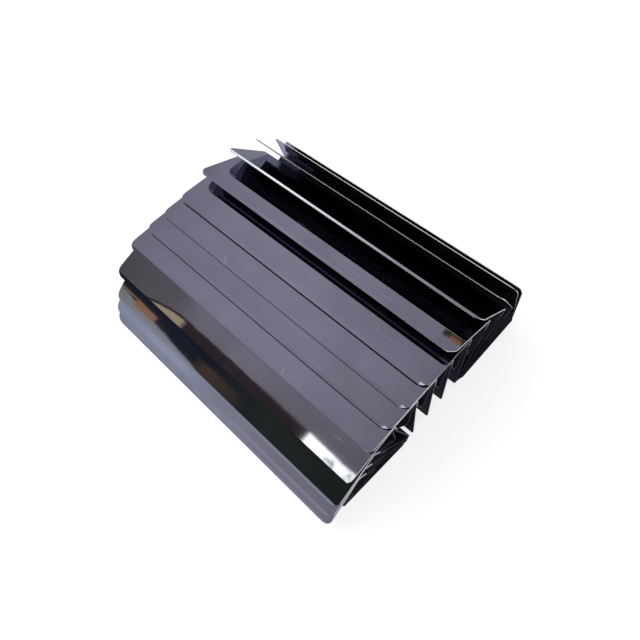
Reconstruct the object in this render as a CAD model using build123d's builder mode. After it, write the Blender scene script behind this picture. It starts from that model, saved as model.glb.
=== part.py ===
"""Armoured bellows way cover: thirteen steel lamellas on board-stiffened fabric folds.

X runs along the lamellas, +Y is the direction of travel from the front end board to the
rear one, and +Z is up. The cover is modelled as it lies loose, bent over into an arch.
Every fold is drawn in its own frame: u runs from the rear edge towards the free edge of
the lamella, w runs down the board from the same rear edge, and both start at the hook.
"""

from build123d import *
from math import cos, radians, sin, tan
import os

# lamella: polished sheet with a lip along its free edge and a leg bent down at its rear
lamella_length = 400.0
lamella_depth = 77.0
lamella_thickness = 0.8
lip_width = 4.0
lip_angle = 17.0
corner_radius = 12.0
bend_radius = 1.4
leg_height = 15.0

# support board: the stiff plate that hangs under each lamella
board_height = 109.0
board_thickness = 1.5
board_corner_radius = 3.0
board_top_gap = 0.7
side_overhang = 40.0

# fold web: coated fabric from under one leg, down to a crease, up to the next board
web_thickness = 0.8
web_side_inset = 1.0
web_crease_depth = 47.0
web_crease_radius = 2.0
web_crease_width = 4.4
web_turn_radius = 2.0
web_bond_height = 6.0
web_seat_gap = 0.1

# rivets through leg, fabric and board: there are so many that they, and the holes in
# the fabric, are drawn with few sides
small_hole_sides = 6
rivet_count = 4
rivet_end_margin = 22.5
rivet_diameter = 3.0
rivet_hole_diameter = 3.2
rivet_head_diameter = 5.0
rivet_head_height = 0.8
rivet_head_taper = 30.0
rivet_drop = 9.5

# end boards, each with a strip that clamps the last web, and bolt holes through both
end_board_thickness = 2.5
clamp_strip_width = 16.0
clamp_strip_thickness = 1.5
clamp_strip_inset = 2.0
bolt_hole_count = 4
bolt_end_margin = 22.5
bolt_hole_diameter = 5.5

# the lie of the cover, front to rear: lean of each lamella in degrees, rear edge up
# being positive, and how much further the boards of the front stack lean
lamella_lean = [45.0, 40.0, 35.0, 16.8, 1.0, -0.9, -1.2, -3.0, -21.5, -42.0, -61.0, -78.0, -87.5]
board_splay = [5.5, 3.0, -1.0, 0.0, 0.0, 0.0, 0.0, 0.0, 0.0, 0.0, 0.0, 0.0, 0.0]

# feet of the front stack, gathered above the inner edge of the front end board
front_foot_y = -37.55
front_foot_z = 2.7
front_foot_step_y = 1.3
front_foot_step_z = 2.4
# feet of the middle boards
middle_first = 4
middle_last = 7
middle_foot_y = -27.35
middle_foot_z = 8.0
middle_pitch = 26.8
shingle_gap = 1.5
# feet of the rear stack, gathered above the inner edge of the rear end board
rear_foot_step_y = 1.7
rear_foot_step_z = 1.75
# end boards: the front one props on its inner edge, the rear one lies flat
front_end_slope = 15.8
front_end_gap = 1.0
rear_end_shift = 4.7

lamella_count = len(lamella_lean)
board_length = lamella_length - side_overhang
board_middle_x = side_overhang / 2
board_lean = [lamella_lean[i] + board_splay[i] for i in range(lamella_count)]
board_rear_u = lamella_thickness + web_thickness
board_front_u = board_rear_u + board_thickness
board_top_w = lamella_thickness + board_top_gap
web_length = board_length - 2 * web_side_inset
rivet_spacing = (board_length - 2 * rivet_end_margin) / (rivet_count - 1)
bolt_hole_spacing = (board_length - 2 * bolt_end_margin) / (bolt_hole_count - 1)
bolt_drop = clamp_strip_inset + clamp_strip_width / 2


def at(hook, lean, u, w):
    """World (y, z) of the point (u, w) in the frame of a fold."""
    turn = radians(lean)
    y = hook[0] - u * cos(turn) + w * sin(turn)
    z = hook[1] - u * sin(turn) - w * cos(turn)
    return y, z


def hook_over(foot, lean):
    """The hook of a fold whose board stands on the given foot."""
    return at(foot, lean, 0, -board_height)


def lay_out_hooks():
    """The hook of every lamella, from the front of the cover to its rear."""
    hooks = []
    for index in range(middle_first):
        foot_y = front_foot_y + front_foot_step_y * index
        foot_z = front_foot_z + front_foot_step_z * index
        hooks.append(hook_over((foot_y, foot_z), board_lean[index]))
    hooks.append(hook_over((middle_foot_y, middle_foot_z), board_lean[middle_first]))
    for index in range(middle_first + 1, middle_last + 1):
        # each lamella passes just over the rear edge of the one in front of it
        front_y, front_z = hooks[-1]
        foot_y = middle_foot_y + middle_pitch * (index - middle_first)
        hook_y = hook_over((foot_y, middle_foot_z), board_lean[index])[0]
        rise = (hook_y - front_y) * tan(radians(lamella_lean[index]))
        hooks.append((hook_y, front_z + lamella_thickness + shingle_gap + rise))
    foot_y, foot_z = at(hooks[-1], board_lean[middle_last], 0, board_height)
    for index in range(middle_last + 1, lamella_count):
        foot_y += rear_foot_step_y
        foot_z = max(foot_z - rear_foot_step_z, end_board_thickness)
        hooks.append(hook_over((foot_y, foot_z), board_lean[index]))
    return hooks


hooks = lay_out_hooks()

# the rear end board lies on the floor, its outer edge just beyond the last hook
rear_end_lean = -90.0
rear_end_hook = (hooks[-1][0] + rear_end_shift, 0.0)
# the front end board's inner edge stays clear of the first board's front face
front_end_lean = 90.0 - front_end_slope
first_front = at(hooks[0], board_lean[0], board_front_u + front_end_gap, board_height)
inner_height = end_board_thickness * cos(radians(front_end_slope))
inner_rise = (inner_height - first_front[1]) * tan(radians(board_lean[0]))
inner_top = (first_front[0] - inner_rise, inner_height)
front_end_hook = at(inner_top, front_end_lean, 0, -board_height)


def section(hook, lean, first_x):
    """The plane across the cover at first_x, with u and w as its x and y."""
    turn = radians(lean)
    return Plane(origin=(first_x, *hook), x_dir=(0, -cos(turn), -sin(turn)), z_dir=(1, 0, 0))


def face_on(hook, lean, u):
    """The plane at the given u that faces the rear, with X and w as its x and y."""
    turn = radians(lean)
    origin = (board_middle_x, *at(hook, lean, u, 0))
    return Plane(origin=origin, x_dir=(1, 0, 0), z_dir=(0, cos(turn), sin(turn)))


def plan_of(hook, lean):
    """The plane of a lamella's top, with X and u as its x and y."""
    turn = radians(lean)
    return Plane(origin=(0, *hook), x_dir=(1, 0, 0), z_dir=(0, sin(turn), -cos(turn)))


def draw_sheet(outer, thickness, radii):
    """The closed outline of a bent sheet, from its outer face, which only turns left."""
    points = [Vector(*point) for point in outer]
    runs = [(points[i + 1] - points[i]).normalized() for i in range(len(points) - 1)]
    sides = [Vector(-run.Y, run.X) for run in runs]
    inner = []
    for i in range(len(points)):
        before, after = sides[max(i - 1, 0)], sides[min(i, len(sides) - 1)]
        inner.append(points[i] + (before + after) * thickness / (1 + before.dot(after)))
    inner_radii = [radius - thickness for radius in radii]
    corners = [0, *radii, 0, 0, *reversed(inner_radii), 0]
    FilletPolyline(*points, *reversed(inner), radius=corners, close=True)


def few_sided(diameter, **options):
    """A small round shape with few sides, which touch the circle of that diameter."""
    RegularPolygon(diameter / 2, small_hole_sides, major_radius=False, **options)


def write(part, label):
    """Name a finished piece and write it as a STEP file."""
    part.label = label
    export_step(part, f"parts/{label}.step")


def make_lamella(index, label):
    """A sheet bent into a leg, a flat and a lip, with its free corners rounded."""
    hook, lean, splay = hooks[index], board_lean[index], radians(board_splay[index])
    flat_depth = lamella_depth - lip_width
    lip_turn = splay - radians(lip_angle)
    flat_end = (flat_depth * cos(splay), -flat_depth * sin(splay))
    lip_end = (flat_end[0] + lip_width * cos(lip_turn), flat_end[1] - lip_width * sin(lip_turn))
    plan_depth = flat_depth + lip_width * cos(radians(lip_angle))
    with BuildPart() as lamella:
        with BuildSketch(section(hook, lean, -lamella_length / 2)):
            with BuildLine():
                path = [(0, leg_height), (0, 0), flat_end, lip_end]
                draw_sheet(path, lamella_thickness, (bend_radius, bend_radius))
            make_face()
        extrude(amount=lamella_length)
        with BuildSketch(plan_of(hook, lamella_lean[index])):
            with Locations((0, (plan_depth - leg_height) / 2)):
                Rectangle(lamella_length, plan_depth + leg_height)
            fillet(vertices().group_by(Axis.Y)[-1], corner_radius)
        extrude(amount=2 * leg_height, both=True, mode=Mode.INTERSECT)
        with BuildSketch(face_on(hook, lean, 0)):
            with Locations((0, rivet_drop)):
                with GridLocations(rivet_spacing, 0, rivet_count, 1):
                    few_sided(rivet_hole_diameter)
        extrude(amount=-lamella_thickness, mode=Mode.SUBTRACT)
    write(lamella.part, label)


def make_board(index, label):
    """The stiff board under a lamella, its two lower corners rounded."""
    hook, lean = hooks[index], board_lean[index]
    with BuildPart() as board:
        with BuildSketch(face_on(hook, lean, board_rear_u)):
            with Locations((0, (board_top_w + board_height) / 2)):
                Rectangle(board_length, board_height - board_top_w)
            fillet(vertices().group_by(Axis.Y)[-1], board_corner_radius)
            with Locations((0, rivet_drop)):
                with GridLocations(rivet_spacing, 0, rivet_count, 1):
                    few_sided(rivet_hole_diameter, mode=Mode.SUBTRACT)
        extrude(amount=-board_thickness)
    write(board.part, label)


def make_rivets(index, label):
    """The rivets of one fold: low heads behind the leg, closed flush with the board."""
    hook, lean = hooks[index], board_lean[index]
    with BuildPart() as rivets:
        with BuildSketch(face_on(hook, lean, 0)):
            with Locations((0, rivet_drop)):
                with GridLocations(rivet_spacing, 0, rivet_count, 1):
                    few_sided(rivet_head_diameter)
        extrude(amount=rivet_head_height, taper=rivet_head_taper)
        with BuildSketch(face_on(hook, lean, 0)):
            with Locations((0, rivet_drop)):
                with GridLocations(rivet_spacing, 0, rivet_count, 1):
                    few_sided(rivet_diameter)
        extrude(amount=-board_front_u)
    write(rivets.part, label)


def make_web(front, rear, label):
    """The fabric fold between two folds, each given as hook, lean and the face it meets."""
    front_hook, front_lean, front_u, front_top, front_drop, front_hole = front
    rear_hook, rear_lean, rear_u, rear_top, rear_drop, rear_hole = rear
    front_crease = at(front_hook, front_lean, front_u, web_crease_depth)
    rear_crease = at(rear_hook, rear_lean, rear_u, web_crease_depth)
    crease_middle = (Vector(*front_crease) + Vector(*rear_crease)) / 2
    crease_turn = radians((front_lean + rear_lean) / 2)
    half_crease = Vector(cos(crease_turn), sin(crease_turn)) * web_crease_width / 2
    path = [
        at(front_hook, front_lean, front_u, front_top),
        at(front_hook, front_lean, front_u, front_drop),
        crease_middle - half_crease,
        crease_middle + half_crease,
        at(rear_hook, rear_lean, rear_u, rear_drop),
        at(rear_hook, rear_lean, rear_u, rear_top),
    ]
    radii = (web_turn_radius, web_crease_radius, web_crease_radius, web_turn_radius)
    with BuildPart() as web:
        with BuildSketch(Plane.YZ.offset(board_middle_x - web_length / 2)):
            with BuildLine():
                draw_sheet(path, web_thickness, radii)
            make_face()
        extrude(amount=web_length)
        for hook, lean, u, hole in ((front_hook, front_lean, front_u, front_hole),
                                    (rear_hook, rear_lean, rear_u, rear_hole)):
            if hole is None:
                continue
            drop, diameter, spacing, count, side = hole
            with BuildSketch(face_on(hook, lean, u)):
                with Locations((0, drop)):
                    with GridLocations(spacing, 0, count, 1):
                        few_sided(diameter)
            extrude(amount=side * web_thickness, mode=Mode.SUBTRACT)
    write(web.part, label)


def make_end_board(hook, lean, label):
    """An end board, drilled for its bolts."""
    with BuildPart() as board:
        with BuildSketch(face_on(hook, lean, 0)):
            with Locations((0, board_height / 2)):
                RectangleRounded(board_length, board_height, board_corner_radius)
            with Locations((0, bolt_drop)):
                with GridLocations(bolt_hole_spacing, 0, bolt_hole_count, 1):
                    Circle(bolt_hole_diameter / 2, mode=Mode.SUBTRACT)
        extrude(amount=-end_board_thickness)
    write(board.part, label)


def make_clamp_strip(hook, lean, u, side, label):
    """The strip that clamps the last web onto an end board."""
    with BuildPart() as strip:
        with BuildSketch(face_on(hook, lean, u)):
            with Locations((0, bolt_drop)):
                RectangleRounded(web_length, clamp_strip_width, board_corner_radius)
                with GridLocations(bolt_hole_spacing, 0, bolt_hole_count, 1):
                    Circle(bolt_hole_diameter / 2, mode=Mode.SUBTRACT)
        extrude(amount=side * clamp_strip_thickness)
    write(strip.part, label)


os.makedirs("parts", exist_ok=True)

leg_hole = (rivet_drop, rivet_hole_diameter, rivet_spacing, rivet_count, 1)
front_strip_hole = (bolt_drop, bolt_hole_diameter, bolt_hole_spacing, bolt_hole_count, 1)
rear_strip_hole = (bolt_drop, bolt_hole_diameter, bolt_hole_spacing, bolt_hole_count, -1)
strip_end = clamp_strip_inset + clamp_strip_width + web_turn_radius
leg_end = leg_height + web_turn_radius

# where each web leaves the fold in front of it, from the front end board on
leaving = [(front_end_hook, front_end_lean, 0, clamp_strip_inset, strip_end, front_strip_hole)]
# where each web arrives at the fold behind it, up to the rear end board
arriving = []
for i in range(lamella_count):
    leaving.append((hooks[i], board_lean[i], board_rear_u, board_top_w, leg_end, leg_hole))
    seat_u = board_front_u + web_seat_gap
    arriving.append((hooks[i], board_lean[i], seat_u, board_top_w, web_bond_height, None))
rear_seat_u = end_board_thickness + web_seat_gap
arriving.append(
    (rear_end_hook, rear_end_lean, rear_seat_u, clamp_strip_inset, strip_end, rear_strip_hole)
)

for i in range(lamella_count):
    make_lamella(i, f"lamella_{i + 1:02d}")
    make_board(i, f"board_{i + 1:02d}")
    make_rivets(i, f"rivets_{i + 1:02d}")
for i in range(lamella_count + 1):
    make_web(leaving[i], arriving[i], f"web_{i + 1:02d}")

make_end_board(front_end_hook, front_end_lean, "end_board_front")
make_clamp_strip(front_end_hook, front_end_lean, -web_thickness, 1, "clamp_strip_front")
make_end_board(rear_end_hook, rear_end_lean, "end_board_rear")
strip_u = rear_seat_u + web_thickness + web_seat_gap
make_clamp_strip(rear_end_hook, rear_end_lean, strip_u, -1, "clamp_strip_rear")
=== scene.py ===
"""Finish, rivets, fabric folds and studio for an armoured bellows way cover.

The steel lamellas, boards, end boards and clamp strips are the frame's own nodes and get
their finish here. The rivets and the fabric folds between the boards are modelled here.
"""

import random
from math import atan2, cos, pi, radians, sin

import bpy
from mathutils import Matrix, Vector
from mathutils.kdtree import KDTree


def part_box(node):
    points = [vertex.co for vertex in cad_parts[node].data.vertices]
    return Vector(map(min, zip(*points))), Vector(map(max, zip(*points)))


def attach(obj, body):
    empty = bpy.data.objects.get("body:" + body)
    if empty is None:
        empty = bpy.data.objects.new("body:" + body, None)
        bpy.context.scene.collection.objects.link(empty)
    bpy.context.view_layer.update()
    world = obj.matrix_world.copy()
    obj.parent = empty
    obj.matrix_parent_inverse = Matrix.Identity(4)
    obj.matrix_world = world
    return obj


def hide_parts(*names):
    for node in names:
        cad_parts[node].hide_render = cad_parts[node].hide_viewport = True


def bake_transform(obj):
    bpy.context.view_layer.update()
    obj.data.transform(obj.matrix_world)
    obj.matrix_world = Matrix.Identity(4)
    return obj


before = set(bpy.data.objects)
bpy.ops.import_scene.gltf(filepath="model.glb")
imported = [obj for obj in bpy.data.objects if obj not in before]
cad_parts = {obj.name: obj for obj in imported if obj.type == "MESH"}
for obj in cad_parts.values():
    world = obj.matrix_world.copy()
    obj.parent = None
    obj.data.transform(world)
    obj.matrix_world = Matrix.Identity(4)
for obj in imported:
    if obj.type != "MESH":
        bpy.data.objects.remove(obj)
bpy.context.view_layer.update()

MM = 0.001

# camera, at the photograph's viewing angle
CAMERA_PLACE = Vector((0.29741, -0.19535, 0.63957))
CAMERA_AZIMUTH = radians(-35.469)
CAMERA_ELEVATION = radians(60.919)
CAMERA_ROLL = radians(-12.488)
CAMERA_LENS = 30.36
CAMERA_NEAREST = 0.01

# studio
FLOOR_SIZE = 60.0
FLOOR_GREY = 0.35
FLOOR_GLOW = 0.75
MAT_SIZE = 6.0
MAT_RISE = 0.25 * MM
TENT_RADIUS = 1.3
TENT_LENGTH = 6.0
TENT_SIDES = 96
ROOM_LIGHT = 0.75
LAMP_SIZE = 1.2
LAMP_POWER = 12
LAMP_PLACE = Vector((-0.9, -0.5, 1.5))
LAMP_AIM = Vector((0, 0, 0.05))

# lamellas: their free edge, and how far behind it the sheared face ends and the painted shade on
# the leg begins
LAMELLA_COUNT = 13
HALF_LENGTH = 200 * MM
EASED_EDGE = 0.65 * MM
SHEARED_DEPTH = 2 * MM
LEG_SHADE_DEPTH = 20 * MM
ZONE_FADE = 2 * MM

# lamellas that lean back further than these get a less metallic free edge, where the pale cut
# colour shows as a painted highlight
STEEP = radians(-50)
UPRIGHT = radians(-70)
STEEP_HIGHLIGHT_METAL = 0.6
UPRIGHT_HIGHLIGHT_METAL = 0.3

# fabric folds, one for each web
WEB_COUNT = LAMELLA_COUNT + 1
WELD = 0.01 * MM
CLOTH_THICKNESS = 0.8 * MM
THICKNESS_LEEWAY = 0.05 * MM
SQUARE_TURN = 1.2
LONG_RUN = 8 * MM
RUN_CUTS = 7
FOLD_CUTS = 88
FRONT_BOND = 15.5 * MM
REAR_BOND = 4.5 * MM
STRIP_BOND = 18 * MM
SLACK_RISE = 9 * MM
WRINKLE_SIZE = 0.016
WRINKLE_DEPTH = 0.7 * MM
WAVE_SIZE = 0.055
WAVE_DEPTH = 0.9 * MM
WEAVE_PITCH = 1.3 * MM
SEAL_WIDTH = 5 * MM
HOLE_RUN = 8 * MM
HOLE_SIDES = 16
RIVET_HOLE = 3.2 * MM
BOLT_HOLE = 5.5 * MM
PUNCH_LENGTH = 4 * CLOTH_THICKNESS
SMOOTH_ANGLE = radians(40)

# rivets
RIVET_SIDES = 20
RIVET_RADIUS = 1.5 * MM
RIVET_LENGTH = 3.1 * MM
HEAD_RADIUS = 2.5 * MM
HEAD_HEIGHT = 0.8 * MM
TAIL_RIM = 0.5 * RIVET_RADIUS
TAIL_DIMPLE = 0.25 * MM
RIVETS_APART = 4 * HEAD_RADIUS

# rings of a rivet's head: the width against the ring below, and the rise in head heights
HEAD_RINGS = [
    (HEAD_RADIUS / RIVET_RADIUS, 0.0), (1.0, 0.3), (0.9, 0.25), (0.72, 0.17), (0.5, 0.08),
]

# colours of the cover, in pairs where a cloud pattern runs from one to the other
CLEAN_STEEL = (0.475, 0.47, 0.495, 1)
WIPED_STEEL = (0.43, 0.428, 0.445, 1)
SCRATCHED_STEEL = (0.8, 0.8, 0.84, 1)
# painted shade: the lamellas' undersides take a darker steel colour
UNDERSIDE_SHADE_STEEL = (0.185, 0.193, 0.25, 1)
# painted shade: the front face of each lamella's leg is near black
LEG_SHADE_STEEL = (0.045, 0.048, 0.07, 1)
# pale cut steel; on the steeper lamellas' free edges it shows diffuse as a painted highlight
CUT_EDGE_AND_HIGHLIGHT_STEEL = (0.88, 0.85, 0.74, 1)
BOARD_BLACKS = (0.0042, 0.0055, 0.0105, 1), (0.0085, 0.011, 0.0205, 1)
BOARD_SCUFF = (0.035, 0.04, 0.05, 1)
BOARD_SAWN = (0.045, 0.052, 0.075, 1)
COAT_BLACKS = (0.0055, 0.0085, 0.018, 1), (0.012, 0.016, 0.030, 1)
COAT_RUBBED = (0.04, 0.044, 0.055, 1)
COAT_SEALED = (0.026, 0.029, 0.038, 1)
THREAD_ENDS = (0.040, 0.046, 0.064, 1), (0.13, 0.145, 0.20, 1)
RIVET_GREYS = (0.40, 0.41, 0.44, 1), (0.56, 0.57, 0.60, 1)
END_BOARD_BLACKS = (0.008, 0.009, 0.012, 1), (0.014, 0.016, 0.021, 1)
END_BOARD_SCUFF = (0.045, 0.05, 0.06, 1)
STRIP_GREYS = (0.44, 0.45, 0.47, 1), (0.55, 0.56, 0.58, 1)

# colours of the stage that the polished steel shows
MAT_GREY = (0.31, 0.32, 0.41, 1)
MAT_FRONT = (0.43, 0.47, 0.62, 1)
MAT_BESIDE = (0.72, 0.74, 0.93, 1)
# dark ground behind the cover, also used for the painted shadow of the cover
MAT_DARK_AND_SHADOW = (0.03, 0.032, 0.05, 1)
WINDOW_LIGHT = (3.1, 3.2, 3.2, 1)
WINDOW_SHADE = (0.8, 0.88, 0.88, 1)
RIDGE_LIGHT = (2.0, 2.05, 2.2, 1)

# where the mat's greys fade into one another, and where it ends: from and to, along Y or X
MAT_FRONT_END = -0.24, -0.16
MAT_REAR_START = 0.04, 0.06
MAT_BESIDE_END = 0.23, 0.26
MAT_BEHIND_START = 0.25, 0.28
MAT_BEHIND_LEFT = -0.33, -0.30
# where the painted shadow of the cover starts, along X
MAT_SHADOW_LEFT = -0.244, -0.234
MAT_RIGHT_END = 0.22, 0.26

# the tent from the front horizon over the top to the rear one
TENT_BANDS = [
    (0.0, (0.43, 0.466, 0.608, 1)),
    (0.035, (0.45, 0.49, 0.63, 1)),
    (0.075, (0.50, 0.55, 0.71, 1)),
    (0.098, (0.50, 0.55, 0.71, 1)),
    (0.112, (0.020, 0.025, 0.042, 1)),
    (0.20, (0.018, 0.022, 0.036, 1)),
    (0.30, (0.035, 0.030, 0.036, 1)),
    (0.340, (0.30, 0.28, 0.345, 1)),
    (0.352, (0.31, 0.29, 0.36, 1)),
    (0.366, (0.40, 0.383, 0.51, 1)),
    (1.0, (0.40, 0.383, 0.51, 1)),
]


def deselect_all():
    bpy.ops.object.select_all(action="DESELECT")


def make_active(piece):
    if bpy.context.mode != "OBJECT":
        bpy.ops.object.mode_set(mode="OBJECT")
    deselect_all()
    piece.select_set(True)
    bpy.context.view_layer.objects.active = piece


def clear_selection(piece, kind):
    """Leave none of a piece's edges or faces selected, ready to pick some of that kind."""
    make_active(piece)
    bpy.ops.object.mode_set(mode="EDIT")
    bpy.ops.mesh.select_mode(type=kind)
    bpy.ops.mesh.select_all(action="DESELECT")
    bpy.ops.object.mode_set(mode="OBJECT")


def select_edges(piece, test):
    """Select, in edit mode, the edges whose two ends pass the test."""
    clear_selection(piece, "EDGE")
    vertices = piece.data.vertices
    for edge in piece.data.edges:
        edge.select = test(*(vertices[i] for i in edge.vertices))
    bpy.ops.object.mode_set(mode="EDIT")


def select_faces(piece, test):
    """Select, in edit mode, the faces that pass the test."""
    clear_selection(piece, "FACE")
    for polygon in piece.data.polygons:
        polygon.select = test(polygon)
    bpy.ops.object.mode_set(mode="EDIT")


def apply_modifier(piece, name, kind, **settings):
    """Add a modifier with its settings and apply it."""
    make_active(piece)
    modifier = piece.modifiers.new(name, kind)
    for key, value in settings.items():
        setattr(modifier, key, value)
    bpy.ops.object.modifier_apply(modifier=name)


class Nodes:
    """A material's node tree, with short calls to add and join its nodes."""

    def __init__(self, tree):
        self.tree = tree
        self.tree.nodes.clear()

    def put(self, socket, value):
        """Join another node's output to a socket, or set the socket to a constant."""
        if isinstance(value, bpy.types.NodeSocket):
            self.tree.links.new(value, socket)
        else:
            socket.default_value = value

    def add(self, kind, settings=None, **inputs):
        """Add a node. An input's name has an underscore for each space."""
        node = self.tree.nodes.new(kind)
        for name, value in (settings or {}).items():
            setattr(node, name, value)
        for name, value in inputs.items():
            self.put(node.inputs[name.replace("_", " ")], value)
        return node

    def math(self, operation, first, second=0.0):
        node = self.add("ShaderNodeMath", {"operation": operation})
        self.put(node.inputs[0], first)
        self.put(node.inputs[1], second)
        return node.outputs[0]

    def times(self, first, second):
        return self.math("MULTIPLY", first, second)

    def most(self, first, second):
        return self.math("MAXIMUM", first, second)

    def span(self, value, low, high, new_low=0.0, new_high=1.0, smooth=False):
        """Map the range low to high onto new_low to new_high, clamped."""
        kind = "SMOOTHSTEP" if smooth else "LINEAR"
        node = self.add(
            "ShaderNodeMapRange", {"interpolation_type": kind, "clamp": True}, Value=value,
            From_Min=low, From_Max=high, To_Min=new_low, To_Max=new_high,
        )
        return node.outputs[0]

    def mix(self, factor, first, second):
        """Mix two colours by a factor."""
        node = self.add("ShaderNodeMix", {"data_type": "RGBA"})
        for socket, value in ((0, factor), (6, first), (7, second)):
            self.put(node.inputs[socket], value)
        return node.outputs[2]

    def ramp(self, value, stops):
        """Colour the value by a list of (place, colour)."""
        node = self.add("ShaderNodeValToRGB", Fac=value)
        elements = node.color_ramp.elements
        while len(elements) > 1:
            elements.remove(elements[-1])
        elements[0].position, elements[0].color = stops[0]
        for place, colour in stops[1:]:
            elements.new(place).color = colour
        return node.outputs[0]

    def coordinates(self, kind="Object"):
        return self.add("ShaderNodeTexCoord").outputs[kind]

    def axes(self, vector):
        """The X, Y and Z of a vector, by name."""
        return self.add("ShaderNodeSeparateXYZ", Vector=vector).outputs

    def place(self, rotation=(0, 0, 0), scale=(1, 1, 1), location=(0, 0, 0)):
        """Object coordinates, shifted, turned and stretched."""
        turned = self.add(
            "ShaderNodeMapping", Vector=self.coordinates(), Location=location, Rotation=rotation
        )
        stretched = self.add("ShaderNodeMapping", Vector=turned.outputs[0], Scale=scale)
        return stretched.outputs[0]

    def noise(self, vector, scale, detail=2.0, roughness=0.5, distortion=0.0):
        node = self.add(
            "ShaderNodeTexNoise", Vector=vector, Scale=scale, Detail=detail,
            Roughness=roughness, Distortion=distortion,
        )
        return node.outputs[0]

    def band(self, value, low, high, soft):
        """1 between low and high, falling to 0 over the soft width on each side."""
        rise = self.span(value, low - soft, low)
        return self.times(rise, self.span(value, high, high + soft, 1.0, 0.0))

    def thread(self, vector, scale, width, detail=1.0):
        """1 on the thin winding lines where a noise crosses its middle value."""
        off = self.math("ABSOLUTE", self.math("SUBTRACT", self.noise(vector, scale, detail), 0.5))
        return self.span(off, 0.0, width, 1.0, 0.0)

    def dot(self, vector, way):
        """How far a vector goes a given way."""
        node = self.add("ShaderNodeVectorMath", {"operation": "DOT_PRODUCT"})
        self.put(node.inputs[0], vector)
        self.put(node.inputs[1], way)
        return node.outputs["Value"]

    def bump(self, height, distance, strength=1.0, normal=None):
        node = self.add("ShaderNodeBump", Height=height, Distance=distance, Strength=strength)
        if normal is not None:
            self.put(node.inputs["Normal"], normal)
        return node.outputs[0]

    def finish(self, shader):
        self.add("ShaderNodeOutputMaterial", Surface=shader)

    def surface(self, **inputs):
        """End the material in one principled surface."""
        self.finish(self.add("ShaderNodeBsdfPrincipled", **inputs).outputs[0])


def new_material(name):
    material = bpy.data.materials.new(name)
    material.use_nodes = True
    return material, Nodes(material.node_tree)


def grey(level):
    return (level, level, level, 1.0)


def node_mesh(node):
    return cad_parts[node].data


def widest_normal(node):
    """The normal of a node's widest face."""
    return max(node_mesh(node).polygons, key=lambda face: face.area).normal.copy()


def plate_lean(node):
    """The lean of a lamella in radians, from its widest face."""
    normal = widest_normal(node)
    if normal.z < 0:
        normal.negate()
    return atan2(-normal.y, normal.z)


def front_edge(node, lean):
    """How far forward a lamella reaches, along its own slope."""
    return min(cos(lean) * v.co.y + sin(lean) * v.co.z for v in node_mesh(node).vertices)


def end_faces(nodes):
    """1 on the faces that close a sheet at its left and right end."""
    across = nodes.axes(nodes.coordinates("Normal"))["X"]
    return nodes.span(nodes.math("ABSOLUTE", across), 0.6, 0.9)


def steel_marks(nodes, lean, draw):
    """The smudges, hairlines, scratches and long waves of a lamella, shifted by a draw."""
    shift = [draw.uniform(-3, 3) for _ in range(3)]
    turn = (-lean, 0, 0)
    flat = nodes.place(turn, (1, 1, 1), shift)
    along = nodes.place(turn, (1, 40, 40), shift)
    across = nodes.place((-lean, 0, draw.uniform(0.9, 1.3)), (1, 30, 1), shift)
    smudge = nodes.noise(flat, 11, 4, 0.6, 0.5)
    hairline = nodes.noise(along, 30, 3, 0.6)
    scratch = nodes.most(
        nodes.thread(along, 1.1, 0.004), nodes.times(nodes.thread(across, 2.2, 0.003), 0.8)
    )
    scratch = nodes.times(scratch, nodes.span(nodes.noise(flat, 23, 1), 0.58, 0.66))
    wave = nodes.noise(nodes.place(turn, (1, 2.2, 2.2), shift), 5, 1)
    return smudge, hairline, scratch, wave


def steel_zones(nodes, lean, front):
    """Where a lamella has its sheared free edge, its leg with painted shade, and its underside
    with painted shade.
    """
    normal = nodes.coordinates("Normal")
    forward = nodes.span(nodes.dot(normal, (0, -cos(lean), -sin(lean))), 0.75, 0.95)
    shaded_underside = nodes.span(nodes.dot(normal, (0, sin(lean), -cos(lean))), 0.75, 0.9)
    depth = nodes.dot(nodes.coordinates(), (0, cos(lean), sin(lean)))
    shear_end, leg_shade_start = front + SHEARED_DEPTH, front + LEG_SHADE_DEPTH
    sheared = nodes.span(depth, shear_end, shear_end + ZONE_FADE, 1.0, 0.0)
    leg_shade = nodes.span(depth, leg_shade_start, leg_shade_start + ZONE_FADE)
    return nodes.times(forward, sheared), nodes.times(forward, leg_shade), shaded_underside


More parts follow.
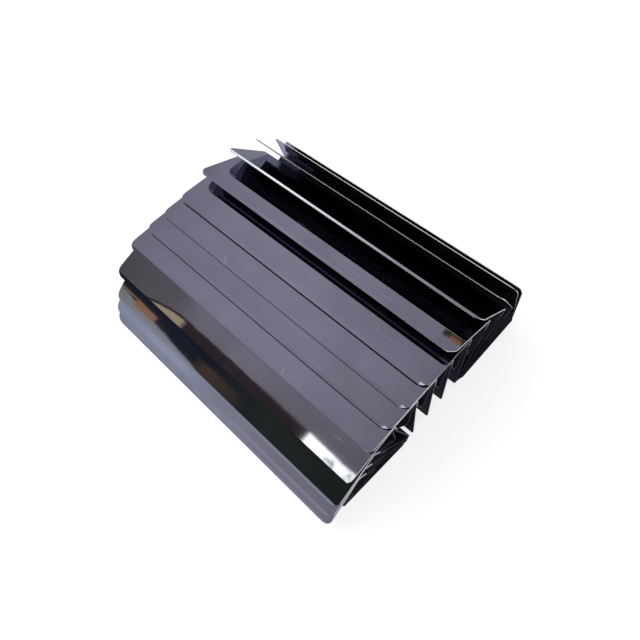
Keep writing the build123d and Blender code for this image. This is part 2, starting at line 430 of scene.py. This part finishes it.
def lamella_steel(name, lean, front, seed):
    """Bright rolled sheet: near mirror, with wiping marks, hairlines, scratches, cut edges."""
    material, nodes = new_material(name)
    smudge, hairline, scratch, wave = steel_marks(nodes, lean, random.Random(seed))
    sheared, leg_shade, shaded_underside = steel_zones(nodes, lean, front)
    cut = nodes.most(end_faces(nodes), sheared)
    roughness = nodes.span(smudge, 0.4, 0.75, 0.02, 0.06)
    roughness = nodes.math("ADD", roughness, nodes.span(hairline, 0.5, 0.8, 0.0, 0.02))
    roughness = nodes.most(roughness, nodes.times(scratch, 0.28))
    roughness = nodes.most(roughness, nodes.times(cut, 0.32))
    reach = nodes.math("ABSOLUTE", nodes.axes(nodes.coordinates())["X"])
    eased = nodes.span(reach, HALF_LENGTH - EASED_EDGE, HALF_LENGTH, 1.0, 0.0)
    normal = nodes.bump(eased, EASED_EDGE, normal=nodes.bump(wave, 0.22 * MM))
    colour = nodes.mix(nodes.span(smudge, 0.35, 0.7), CLEAN_STEEL, WIPED_STEEL)
    colour = nodes.mix(nodes.times(scratch, 0.6), colour, SCRATCHED_STEEL)
    # painted shade: the underside takes a darker steel colour
    colour = nodes.mix(shaded_underside, colour, UNDERSIDE_SHADE_STEEL)
    # painted shade: the leg's front face goes near black
    colour = nodes.mix(leg_shade, colour, LEG_SHADE_STEEL)
    colour = nodes.mix(cut, colour, CUT_EDGE_AND_HIGHLIGHT_STEEL)
    # painted highlight: the steeper lamellas' sheared free edge is less metallic, so its pale cut
    # colour shows bright
    edge_highlight_metal = UPRIGHT_HIGHLIGHT_METAL if lean < UPRIGHT else STEEP_HIGHLIGHT_METAL if lean < STEEP else 1.0
    metal = nodes.span(sheared, 0.0, 1.0, 1.0, edge_highlight_metal)
    # painted shade: a little of the underside's dark colour shows diffuse
    metal = nodes.math("SUBTRACT", metal, nodes.times(shaded_underside, 0.06))
    nodes.surface(Base_Color=colour, Roughness=roughness, Normal=normal, Metallic=metal)
    return material


def board_plastic():
    """Black rigid sheet with a fine grain, paler where it was sawn at its two ends."""
    material, nodes = new_material("board_plastic")
    grain = nodes.noise(nodes.place(), 900, 3, 0.6)
    cloud = nodes.noise(nodes.place(), 12, 3)
    patchy = nodes.span(nodes.noise(nodes.place(), 160, 3), 0.3, 0.6, 0.5, 1.0)
    sawn = nodes.times(end_faces(nodes), patchy)
    scuff = nodes.thread(nodes.place(scale=(1, 1, 0.2)), 60, 0.02, 3)
    scuff = nodes.times(scuff, nodes.span(cloud, 0.5, 0.7))
    colour = nodes.mix(cloud, *BOARD_BLACKS)
    colour = nodes.mix(nodes.times(scuff, 0.35), colour, BOARD_SCUFF)
    colour = nodes.mix(sawn, colour, BOARD_SAWN)
    nodes.surface(
        Base_Color=colour, Roughness=nodes.span(cloud, 0.3, 0.7, 0.52, 0.66),
        Normal=nodes.bump(grain, 0.05 * MM, 0.6), Specular_IOR_Level=0.2,
    )
    return material


def weave_height(nodes, cloth):
    """The height of a plain weave on the fabric's own map, in metres across and along."""
    threads = []
    for direction in ("X", "Y"):
        wave = nodes.add(
            "ShaderNodeTexWave", {"bands_direction": direction, "wave_profile": "SIN"},
            Vector=cloth, Scale=pi / (10 * WEAVE_PITCH),
        )
        threads.append(wave.outputs["Fac"])
    return nodes.most(*threads)


def web_fabric():
    """Coated polyester cloth: plain weave under a thin black coat, creased and rubbed."""
    material, nodes = new_material("web_fabric")
    cloth = nodes.add("ShaderNodeUVMap", {"uv_map": "cloth"}).outputs[0]
    across = nodes.axes(cloth)["X"]
    left, right = (corner.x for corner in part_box("web_07"))
    sealed = nodes.most(
        nodes.span(across, left + SEAL_WIDTH, left + SEAL_WIDTH + MM, 1, 0),
        nodes.span(across, right - SEAL_WIDTH - MM, right - SEAL_WIDTH, 0, 1),
    )
    cloud = nodes.noise(nodes.place(), 40, 2, 0.5)
    rub = nodes.thread(nodes.place(scale=(1, 0.4, 0.4)), 55, 0.012, 3)
    rub = nodes.times(rub, nodes.span(cloud, 0.45, 0.7))
    colour = nodes.mix(cloud, *COAT_BLACKS)
    colour = nodes.mix(nodes.times(rub, 0.4), colour, COAT_RUBBED)
    colour = nodes.mix(nodes.times(sealed, 0.5), colour, COAT_SEALED)
    threads = nodes.times(weave_height(nodes, cloth), nodes.span(sealed, 0, 1, 1.0, 0.3))
    normal = nodes.bump(cloud, 0.2 * MM, 0.4, nodes.bump(threads, 0.05 * MM, 0.6))
    nodes.surface(
        Base_Color=colour, Roughness=nodes.span(cloud, 0.3, 0.7, 0.5, 0.66), Normal=normal,
        Specular_IOR_Level=0.25,
    )
    return material


def web_cut_edge():
    """The cut edge of the fabric, where the pale threads show between two black coats."""
    material, nodes = new_material("web_cut_edge")
    strands = nodes.noise(nodes.place(), 1400, 3, 0.7)
    nodes.surface(
        Base_Color=nodes.mix(strands, *THREAD_ENDS), Roughness=0.7,
        Normal=nodes.bump(strands, 0.08 * MM), Specular_IOR_Level=0.25,
    )
    return material


def rivet_metal():
    """Dull zinc-plated rivets, darker in their pits."""
    material, nodes = new_material("rivet_metal")
    mottle = nodes.noise(nodes.place(), 700, 3)
    nodes.surface(
        Base_Color=nodes.mix(mottle, *RIVET_GREYS), Metallic=1.0,
        Roughness=nodes.span(mottle, 0.3, 0.7, 0.25, 0.5), Normal=nodes.bump(mottle, 0.03 * MM),
    )
    return material


def end_board_plastic():
    """Black moulded end boards, a little smoother than the boards between."""
    material, nodes = new_material("end_board_plastic")
    grain = nodes.noise(nodes.place(), 600, 3, 0.6)
    cloud = nodes.noise(nodes.place(), 8, 3)
    scuff = nodes.thread(nodes.place(scale=(0.3, 1, 1)), 50, 0.015, 3)
    scuff = nodes.times(scuff, nodes.span(cloud, 0.5, 0.65, 0.0, 0.5))
    colour = nodes.mix(scuff, nodes.mix(cloud, *END_BOARD_BLACKS), END_BOARD_SCUFF)
    nodes.surface(
        Base_Color=colour, Roughness=nodes.span(cloud, 0.3, 0.7, 0.42, 0.54),
        Normal=nodes.bump(grain, 0.06 * MM, 0.6), Specular_IOR_Level=0.3,
    )
    return material


def clamp_strip_metal():
    """Plain drawn strip with a lengthwise grain."""
    material, nodes = new_material("clamp_strip_metal")
    drawn = nodes.noise(nodes.place(scale=(2, 60, 60)), 40, 3, 0.6)
    nodes.surface(
        Base_Color=nodes.mix(drawn, *STRIP_GREYS), Metallic=1.0,
        Roughness=nodes.span(drawn, 0.3, 0.7, 0.28, 0.42), Normal=nodes.bump(drawn, 0.02 * MM),
    )
    return material


def dress_nodes():
    """Give every rigid node that stays in the scene its finish."""
    boards, ends, strips = board_plastic(), end_board_plastic(), clamp_strip_metal()
    finishes = {
        "end_board_front": ends, "end_board_rear": ends,
        "clamp_strip_front": strips, "clamp_strip_rear": strips,
    }
    for number in range(1, LAMELLA_COUNT + 1):
        lamella = f"lamella_{number:02d}"
        name = f"lamella_steel_{number:02d}"
        lean = plate_lean(lamella)
        finishes[lamella] = lamella_steel(name, lean, front_edge(lamella, lean), number)
        finishes[f"board_{number:02d}"] = boards
    for node, material in finishes.items():
        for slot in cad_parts[node].material_slots:
            slot.material = material


def merged_copy(node, name):
    """A new object with its own copy of a node's mesh, its doubles merged."""
    piece = bpy.data.objects.new(name, node_mesh(node).copy())
    bpy.context.scene.collection.objects.link(piece)
    make_active(piece)
    bpy.ops.object.mode_set(mode="EDIT")
    bpy.ops.mesh.select_all(action="SELECT")
    bpy.ops.mesh.remove_doubles(threshold=WELD)
    bpy.ops.object.mode_set(mode="OBJECT")
    return piece


def neighbours(edges):
    """The corners beside each corner, from the edges between them."""
    beside = {}
    for first, second in edges:
        beside.setdefault(first, []).append(second)
        beside.setdefault(second, []).append(first)
    return beside


def walk(beside, start):
    """All corners in order from a start, along an open chain or round a ring."""
    order = [start]
    while len(order) < len(beside):
        passed = order[-2:-1] + order[:1]
        order.append(next(v for v in beside[order[-1]] if v not in passed))
    return order


def left_ring(piece, left):
    """The corners of a piece's flat left end, in order round its outline."""
    places = piece.data.vertices
    uses = {}
    for polygon in piece.data.polygons:
        if all(places[v].co.x < left + WELD for v in polygon.vertices):
            for edge in polygon.edge_keys:
                uses[edge] = uses.get(edge, 0) + 1
    beside = neighbours(edge for edge, count in uses.items() if count == 1)
    return walk(beside, next(iter(beside)))


def length_of(places):
    return sum((after - before).length for before, after in zip(places, places[1:]))


def outer_wall(piece, left, front_place):
    """The corners of the outer wall of a folded sheet's left end, from the front.

    The second value points from there through the cloth to its inner wall.
    """
    ring = left_ring(piece, left)
    places = [piece.data.vertices[v].co.copy() for v in ring]
    count = len(ring)
    ends = []
    for i in range(count):
        before, here, after, beyond = (places[(i + step) % count] for step in (-1, 0, 1, 2))
        turn_in = (here - before).angle(after - here)
        turn_out = (after - here).angle(beyond - after)
        is_thin = abs((after - here).length - CLOTH_THICKNESS) < THICKNESS_LEEWAY
        if is_thin and min(turn_in, turn_out) > SQUARE_TURN:
            ends.append(i)
    first, second = ends
    walls = [ring[first + 1:second + 1], (ring[second + 1:] + ring[:first + 1])[::-1]]
    walls.sort(key=lambda wall: length_of([piece.data.vertices[v].co for v in wall]))
    inner, outer = walls
    starts = [(piece.data.vertices[v].co - front_place).length for v in (outer[0], outer[-1])]
    if starts[0] > starts[1]:
        inner, outer = inner[::-1], outer[::-1]
    return outer, piece.data.vertices[inner[0]].co - piece.data.vertices[outer[0]].co


def run_of_section(piece, start):
    """The distance along the cloth of every corner of its section, and a way to find them."""
    places = piece.data.vertices
    beside = neighbours(edge.vertices for edge in piece.data.edges)
    ends = [v for v, others in beside.items() if len(others) == 1]
    order = walk(beside, min(ends, key=lambda v: (places[v].co - start).length))
    points = [Vector((0, places[v].co.y, places[v].co.z)) for v in order]
    runs = [0.0]
    tree = KDTree(len(points))
    for i, point in enumerate(points):
        tree.insert(point, i)
        if i:
            runs.append(runs[-1] + (point - points[i - 1]).length)
    tree.balance()
    return points, runs, tree


def place_along(points, runs, run):
    """The point of a section at that distance along the cloth, and its direction there."""
    i = next(i for i in range(1, len(runs)) if runs[i] >= run)
    way = (points[i] - points[i - 1]).normalized()
    return points[i - 1] + way * (run - runs[i - 1]), way


def smooth(value):
    value = min(max(value, 0.0), 1.0)
    return value * value * (3 - 2 * value)


def map_cloth(fold, runs, tree, bonds):
    """Give the cloth its flat map in metres, and its slack between the bonded ends."""
    run_at = []
    for vertex in fold.data.vertices:
        run_at.append(runs[tree.find((0, vertex.co.y, vertex.co.z))[1]])
    cloth = fold.data.uv_layers.new(name="cloth")
    for loop in fold.data.loops:
        place = fold.data.vertices[loop.vertex_index].co
        cloth.data[loop.index].uv = (place.x, run_at[loop.vertex_index])
    slack = fold.vertex_groups.new(name="slack")
    for i, run in enumerate(run_at):
        free = min(run - bonds[0], runs[-1] - bonds[1] - run)
        slack.add([i], smooth(free / SLACK_RISE), "REPLACE")


def wrinkle_maps():
    """The two cloud patterns that the slack cloth is pushed in by: fine and broad."""
    maps = []
    for name, size in (("wrinkles", WRINKLE_SIZE), ("waves", WAVE_SIZE)):
        pattern = bpy.data.textures.new(name, "CLOUDS")
        pattern.noise_scale = size
        pattern.noise_depth = 2
        maps.append(pattern)
    return maps


def fold_ends(number):
    """The body and the node at each end of a fold, front first, and what pins its front."""
    if number == 1:
        front = ("end_front", "end_board_front", "clamp_strip_front")
    else:
        before = f"{number - 1:02d}"
        front = (f"fold_{before}", f"board_{before}", f"rivets_{before}")
    if number == WEB_COUNT:
        rear = ("end_rear", "end_board_rear")
    else:
        rear = (f"fold_{number:02d}", f"board_{number:02d}")
    return front, rear


def cut_to_wall(fold, wall):
    """Keep only one wall of the fold's left end, with its long runs cut into short ones."""
    kept = {frozenset(pair) for pair in zip(wall, wall[1:])}
    select_edges(fold, lambda a, b: frozenset((a.index, b.index)) not in kept)
    bpy.ops.mesh.delete(type="EDGE")
    bpy.ops.mesh.select_all(action="SELECT")
    bpy.ops.mesh.delete_loose(use_verts=True, use_edges=False, use_faces=False)
    select_edges(fold, lambda a, b: (a.co - b.co).length > LONG_RUN)
    bpy.ops.mesh.subdivide(number_cuts=RUN_CUTS)
    bpy.ops.object.mode_set(mode="OBJECT")


def draw_across(fold, width, start, inward):
    """Draw the section out along X, cut across, with its faces outwards."""
    bpy.ops.object.mode_set(mode="EDIT")
    bpy.ops.mesh.select_all(action="SELECT")
    bpy.ops.mesh.extrude_region_move(TRANSFORM_OT_translate={"value": (width, 0, 0)})
    select_edges(fold, lambda a, b: abs(a.co.x - b.co.x) > width / 2)
    bpy.ops.mesh.subdivide(number_cuts=FOLD_CUTS)
    bpy.ops.mesh.select_all(action="SELECT")
    bpy.ops.mesh.normals_make_consistent(inside=False)
    bpy.ops.object.mode_set(mode="OBJECT")
    near_start = min(fold.data.polygons, key=lambda face: (face.center - start).length)
    if near_start.normal.dot(inward) > 0:
        fold.data.flip_normals()


def crease_and_thicken(fold, finishes, patterns):
    """Push the slack cloth in by each pattern, and give the cloth its thickness."""
    for pattern, depth in zip(patterns, (WRINKLE_DEPTH, WAVE_DEPTH)):
        apply_modifier(
            fold, "push", "DISPLACE", texture=pattern, strength=depth, mid_level=1.0,
            vertex_group="slack", texture_coords="LOCAL",
        )
    fold.data.materials.clear()
    for finish in finishes:
        fold.data.materials.append(finish)
    apply_modifier(
        fold, "thicken", "SOLIDIFY", thickness=CLOTH_THICKNESS, offset=-1, use_even_offset=True,
        use_rim=True, material_offset_rim=1,
    )


def punch_holes(fold, place, way, diameter, cross_places):
    """Cut round holes through the cloth at one distance along it."""
    deselect_all()
    cutters = []
    for x in cross_places:
        bpy.ops.mesh.primitive_cylinder_add(
            vertices=HOLE_SIDES, radius=diameter / 2, depth=PUNCH_LENGTH,
            location=(x, place.y, place.z), rotation=(atan2(-way.y, way.z) + pi / 2, 0, 0),
        )
        cutters.append(bpy.context.object)
    for cutter in cutters:
        cutter.select_set(True)
    bpy.ops.object.join()
    cutter = bpy.context.object
    apply_modifier(fold, "holes", "BOOLEAN", operation="DIFFERENCE", object=cutter, solver="EXACT")
    bpy.data.objects.remove(cutter)


def blend_limits(points, runs, bonds):
    """Where the cloth's bond to the front board ends and its bond to the rear board starts, along
    the line between them.
    """
    bonded = [[], []]
    for point, run in zip(points, runs):
        if run <= bonds[0] + WELD:
            bonded[0].append(point)
        if run >= runs[-1] - bonds[1] - WELD:
            bonded[1].append(point)
    leaves = bonded[0][-1]
    way = (bonded[1][0] - leaves).normalized()
    start = max((point - leaves).dot(way) for point in bonded[0])
    end = min((point - leaves).dot(way) for point in bonded[1])
    return leaves + way * start, leaves + way * end


def make_fold(number, finishes, patterns, cross_places):
    """One fold of the fabric, drawn out along X from the outline of its web."""
    front, rear = fold_ends(number)
    web = f"web_{number:02d}"
    low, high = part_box(web)
    width = high.x - low.x
    pin_low, pin_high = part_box(front[2])
    pin = Vector((low.x, (pin_low.y + pin_high.y) / 2, (pin_low.z + pin_high.z) / 2))
    fold = merged_copy(web, f"fabric_fold_{number:02d}")
    wall, inward = outer_wall(fold, low.x, pin)
    start = fold.data.vertices[wall[0]].co.copy()
    cut_to_wall(fold, wall)
    points, runs, tree = run_of_section(fold, start)
    draw_across(fold, width, start, inward)

    bonds = (STRIP_BOND if number == 1 else FRONT_BOND,
             STRIP_BOND if number == WEB_COUNT else REAR_BOND)
    map_cloth(fold, runs, tree, bonds)
    crease_and_thicken(fold, finishes, patterns)
    holes = [(HOLE_RUN, BOLT_HOLE if number == 1 else RIVET_HOLE)]
    if number == WEB_COUNT:
        holes.append((runs[-1] - HOLE_RUN, BOLT_HOLE))
    for run, diameter in holes:
        place, way = place_along(points, runs, run)
        punch_holes(fold, place, way, diameter, cross_places)
    make_active(fold)
    bpy.ops.object.shade_smooth_by_angle(angle=SMOOTH_ANGLE)
    deselect_all()

    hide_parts(web)
    limits = blend_limits(points, runs, bonds)
    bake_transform(fold)


def make_rivet(finish):
    """One rivet, standing on the origin: shank down, low domed head up."""
    deselect_all()
    bpy.ops.mesh.primitive_cylinder_add(
        vertices=RIVET_SIDES, radius=RIVET_RADIUS, depth=RIVET_LENGTH,
        location=(0, 0, -RIVET_LENGTH / 2),
    )
    rivet = bpy.context.object
    rivet.name = "rivet"
    bpy.ops.object.transform_apply(location=True, rotation=True, scale=True)
    select_faces(rivet, lambda face: face.normal.z > 0.9)
    height = 0.0
    for growth, rise in HEAD_RINGS:
        bpy.ops.mesh.extrude_region_move(
            TRANSFORM_OT_translate={"value": (0, 0, rise * HEAD_HEIGHT)}
        )
        height += rise * HEAD_HEIGHT
        bpy.ops.transform.resize(value=(growth, growth, 1), center_override=(0, 0, height))
    select_faces(rivet, lambda face: face.normal.z < -0.9 and face.center.z < -RIVET_LENGTH / 2)
    bpy.ops.mesh.inset(thickness=TAIL_RIM)
    bpy.ops.transform.translate(value=(0, 0, TAIL_DIMPLE))
    bpy.ops.mesh.select_all(action="SELECT")
    bpy.ops.mesh.remove_doubles(threshold=WELD)
    bpy.ops.object.mode_set(mode="OBJECT")
    bpy.ops.object.shade_smooth_by_angle(angle=SMOOTH_ANGLE)
    rivet.data.materials.clear()
    rivet.data.materials.append(finish)
    return rivet


def rivet_places(node, rearward):
    """Where each rivet of a fold comes through the leg of its lamella, from left to right."""
    corners = sorted((v.co.copy() for v in node_mesh(node).vertices), key=lambda c: c.x)
    groups = [[corners[0]]]
    for corner in corners[1:]:
        if corner.x - groups[-1][-1].x > RIVETS_APART:
            groups.append([])
        groups[-1].append(corner)
    down = Vector((0, rearward.z, -rearward.y))
    places = []
    for group in groups:
        x = (min(c.x for c in group) + max(c.x for c in group)) / 2
        drops = [c.dot(down) for c in group]
        depth = max(c.dot(rearward) for c in group) - HEAD_HEIGHT
        place = rearward * depth + down * (min(drops) + max(drops)) / 2
        places.append(Vector((x, place.y, place.z)))
    return places


def set_rivets(number, rivet):
    """Set the rivets of one fold, each a copy of the one rivet, and say where they are in X."""
    node = f"rivets_{number:02d}"
    rearward = widest_normal(f"board_{number:02d}")
    if rearward.y < 0:
        rearward.negate()
    places = rivet_places(node, rearward)
    across = Vector((1, 0, 0))
    turn = Matrix((across, rearward.cross(across), rearward)).transposed()
    copies = []
    for place in places:
        copy = bpy.data.objects.new(f"round_{node}", rivet.data.copy())
        bpy.context.scene.collection.objects.link(copy)
        copy.data.transform(Matrix.Translation(place) @ turn.to_4x4())
        copies.append(copy)
    make_active(copies[0])
    for copy in copies:
        copy.select_set(True)
    bpy.ops.object.join()
    deselect_all()
    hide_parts(node)
    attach(copies[0], f"fold_{number:02d}")
    return [place.x for place in places]


def add_camera():
    """The camera, at the photograph's place and turned as it was held."""
    level, height = cos(CAMERA_ELEVATION), sin(CAMERA_ELEVATION)
    back = Vector((level * cos(CAMERA_AZIMUTH), level * sin(CAMERA_AZIMUTH), height))
    right = (-back).cross(Vector((0, 0, 1))).normalized()
    up = right.cross(-back)
    across = right * cos(CAMERA_ROLL) + up * sin(CAMERA_ROLL)
    upright = up * cos(CAMERA_ROLL) - right * sin(CAMERA_ROLL)
    data = bpy.data.cameras.new("camera")
    data.lens = CAMERA_LENS
    data.clip_start = CAMERA_NEAREST
    camera = bpy.data.objects.new("camera", data)
    bpy.context.scene.collection.objects.link(camera)
    turn = Matrix((across, upright, back)).transposed()
    camera.matrix_world = Matrix.Translation(CAMERA_PLACE) @ turn.to_4x4()
    bpy.context.scene.camera = camera


def seen_directly(nodes):
    """1 for rays from the camera and for those that a gloss or glass sends on."""
    path = nodes.add("ShaderNodeLightPath")
    seen = nodes.most(path.outputs["Is Camera Ray"], path.outputs["Is Glossy Ray"])
    return nodes.most(seen, path.outputs["Is Transmission Ray"])


def named_card(name, material):
    """The card that was just added, with its name, its place in its mesh and its material."""
    card = bpy.context.object
    card.name = name
    bpy.ops.object.transform_apply(location=True, rotation=True, scale=True)
    card.data.materials.append(material)
    return card


def hide_but_from_gloss(card):
    """Leave a card to be seen by polished steel only."""
    for flag in ("visible_camera", "visible_diffuse", "visible_transmission",
                 "visible_volume_scatter", "visible_shadow"):
        setattr(card, flag, False)


def floor_white():
    """Pale grey that shows white where it is lit and keeps the shadow."""
    material, nodes = new_material("floor_white")
    diffuse = nodes.add("ShaderNodeBsdfDiffuse", Color=grey(FLOOR_GREY))
    strength = nodes.times(seen_directly(nodes), FLOOR_GLOW)
    glow = nodes.add("ShaderNodeEmission", Color=grey(1.0), Strength=strength)
    both = nodes.add("ShaderNodeAddShader")
    nodes.put(both.inputs[0], diffuse.outputs[0])
    nodes.put(both.inputs[1], glow.outputs[0])
    nodes.finish(both.outputs[0])
    return material


def add_floor():
    """The floor that the cover lies on."""
    deselect_all()
    bpy.ops.mesh.primitive_plane_add(size=FLOOR_SIZE)
    floor = named_card("floor", floor_white())


def bench_top():
    """Grey round the cover: bluer in front, pale beside its rear, a painted shadow of the cover
    where it lies, and dark behind that.

    It ends at the cover's right.
    """
    material, nodes = new_material("bench_top")
    spot = nodes.coordinates()
    axes = nodes.axes(spot)
    x, y = axes["X"], axes["Y"]
    in_front = nodes.span(y, *MAT_FRONT_END, 1.0, 0.0)
    at_rear = nodes.span(y, *MAT_REAR_START)
    beside = nodes.times(nodes.span(y, *MAT_BESIDE_END, 1.0, 0.0), at_rear)
    behind = nodes.times(nodes.span(y, *MAT_BEHIND_START), nodes.span(x, *MAT_BEHIND_LEFT))
    # painted shadow of the cover on the mat, from its rear rightwards
    cover_shadow = nodes.times(at_rear, nodes.span(x, *MAT_SHADOW_LEFT))
    colour = nodes.mix(in_front, MAT_GREY, MAT_FRONT)
    colour = nodes.mix(beside, colour, MAT_BESIDE)
    colour = nodes.mix(nodes.most(behind, cover_shadow), colour, MAT_DARK_AND_SHADOW)
    cloud = nodes.span(nodes.noise(spot, 3, 2), 0.3, 0.7, 0.9, 1.05)
    glow = nodes.add("ShaderNodeEmission", Color=colour, Strength=cloud)
    clear = nodes.add("ShaderNodeBsdfTransparent")
    both = nodes.add("ShaderNodeMixShader", Fac=nodes.span(x, *MAT_RIGHT_END))
    nodes.put(both.inputs[1], glow.outputs[0])
    nodes.put(both.inputs[2], clear.outputs[0])
    nodes.finish(both.outputs[0])
    return material


def add_mat():
    """A ground just over the floor, as only the polished steel sees it."""
    deselect_all()
    bpy.ops.mesh.primitive_plane_add(size=MAT_SIZE, location=(0, 0, MAT_RISE))
    hide_but_from_gloss(named_card("mat", bench_top()))


def tent_cloth():
    """Bands and patches of light and dark round the cover.

    Angles are in degrees, from the front horizon over the top to the rear one.
    """
    material, nodes = new_material("tent_cloth")
    spot = nodes.coordinates()
    axes = nodes.axes(spot)
    across = axes["X"]
    turn = nodes.math("ARCTAN2", axes["Z"], nodes.times(axes["Y"], -1.0))
    angle = nodes.times(turn, 180 / pi)
    ragged = nodes.span(nodes.noise(spot, 9, 4, 0.65), 0.3, 0.7, -0.16, 0.16)
    ragged = nodes.math("ADD", angle, ragged)
    lifted = nodes.math("ADD", ragged, nodes.span(across, -1.2, -0.62, 0.0, 2.0))
    roofed = nodes.math("ADD", ragged, nodes.span(across, -1.16, -0.85, 2.2, 0.0, True))
    shade = nodes.span(nodes.noise(spot, 14, 3, 0.6), 0.59, 0.64)
    window = nodes.mix(shade, WINDOW_LIGHT, WINDOW_SHADE)

    # colour, angle with its edge, from and to that angle, from and to X, and both soft widths
    patches = [
        # low in front: a pale field, strips on a dark band, and that band's green end
        ((0.43, 0.418, 0.53, 1), angle, -90, 17.6, -0.35, 3, 1.0, 0.4),
        ((0.38, 0.41, 0.43, 1), lifted, 21.5, 25.1, -3, -0.66, 0.25, 0.06),
        ((0.10, 0.068, 0.060, 1), ragged, 23.0, 25.0, -0.66, -0.50, 0.5, 0.06),
        ((0.62, 0.34, 0.18, 1), angle, 25.25, 25.4, -3, -1.05, 0.06, 0.03),
        ((0.46, 0.24, 0.16, 1), angle, 24.2, 25.3, -1.07, -0.96, 0.1, 0.015),
        ((0.034, 0.042, 0.040, 1), angle, 21.5, 32, -0.35, 3, 1.2, 0.3),
        # higher in front: a grey left end, a dark gable, two patches in it, and two lights
        ((0.19, 0.18, 0.205, 1), angle, 58, 67.5, -3, -0.95, 1.5, 0.15),
        ((0.050, 0.038, 0.046, 1), roofed, 40, 60.95, -3, 3, 0.10, 0.02),
        ((0.06, 0.10, 0.05, 1), roofed, 56.5, 60.5, -1.12, -1.04, 0.2, 0.03),
        ((0.60, 0.50, 0.34, 1), roofed, 57.5, 60.5, -1.05, -0.86, 0.2, 0.03),
        (window, ragged, 56, 60.9, -0.205, 0.3, 0.1, 0.01),
        ((1.5, 1.5, 1.6, 1), angle, 65.5, 84, -0.036, 0.3, 1.0, 0.005),
        # high behind: a dark patch with a small bright one
        ((0.06, 0.07, 0.05, 1), ragged, 153.1, 156.5, -0.085, 0.0, 0.12, 0.008),
        ((0.55, 0.24, 0.11, 1), angle, 152.9, 153.5, -0.058, -0.022, 0.08, 0.006),
    ]
    colour = nodes.ramp(nodes.math("DIVIDE", angle, 180), TENT_BANDS)
    for tint, edge, low, high, left, right, soft_angle, soft_x in patches:
        mask = nodes.times(nodes.band(edge, low, high, soft_angle),
                           nodes.band(across, left, right, soft_x))
        colour = nodes.mix(mask, colour, tint)
    ridge = nodes.times(nodes.span(angle, 159.5, 161.5),
                        nodes.span(across, -0.95, -0.35, 1.0, 0.12))
    colour = nodes.mix(ridge, colour, RIDGE_LIGHT)

    cloud = nodes.noise(spot, 2.6, 3, 0.5)
    streaks = nodes.noise(nodes.place(scale=(0.35, 4, 4)), 3, 1)
    tone = nodes.times(nodes.span(cloud, 0.3, 0.7, 0.90, 1.10),
                       nodes.span(streaks, 0.42, 0.58, 0.97, 1.03))
    off = nodes.math("DIVIDE", nodes.math("ADD", across, 0.7), 0.6)
    fall = nodes.span(nodes.times(off, off), 0.0, 1.6, 1.0, 0.62)
    glow = nodes.add("ShaderNodeEmission", Color=colour, Strength=nodes.times(tone, fall))
    nodes.finish(glow.outputs[0])
    return material


def add_tent():
    """The surroundings of the cover, as only the polished steel sees them."""
    deselect_all()
    bpy.ops.mesh.primitive_cylinder_add(
        vertices=TENT_SIDES, radius=TENT_RADIUS, depth=TENT_LENGTH, end_fill_type="NOTHING",
        rotation=(0, pi / 2, 0),
    )
    hide_but_from_gloss(named_card("tent", tent_cloth()))


def add_light():
    """A bright plain room, and one large soft lamp high on the left."""
    world = bpy.data.worlds.new("studio")
    world.use_nodes = True
    bpy.context.scene.world = world
    nodes = Nodes(world.node_tree)
    strength = nodes.span(seen_directly(nodes), 0, 1, ROOM_LIGHT, 1.0)
    background = nodes.add("ShaderNodeBackground", Color=grey(1.0), Strength=strength)
    nodes.add("ShaderNodeOutputWorld", Surface=background.outputs[0])
    lamp = bpy.data.lights.new("soft_lamp", "AREA")
    lamp.size = LAMP_SIZE
    lamp.energy = LAMP_POWER
    holder = bpy.data.objects.new("soft_lamp", lamp)
    bpy.context.scene.collection.objects.link(holder)
    holder.location = LAMP_PLACE
    holder.rotation_euler = (LAMP_AIM - LAMP_PLACE).to_track_quat("-Z", "Y").to_euler()
    holder.visible_glossy = False


add_camera()
add_floor()
add_mat()
add_tent()
add_light()
dress_nodes()

rivet = make_rivet(rivet_metal())
for number in range(1, LAMELLA_COUNT + 1):
    cross_places = set_rivets(number, rivet)
bpy.data.objects.remove(rivet)

finishes = [web_fabric(), web_cut_edge()]
patterns = wrinkle_maps()
for number in range(1, WEB_COUNT + 1):
    make_fold(number, finishes, patterns, cross_places)

bpy.context.scene.view_settings.view_transform = "Standard"
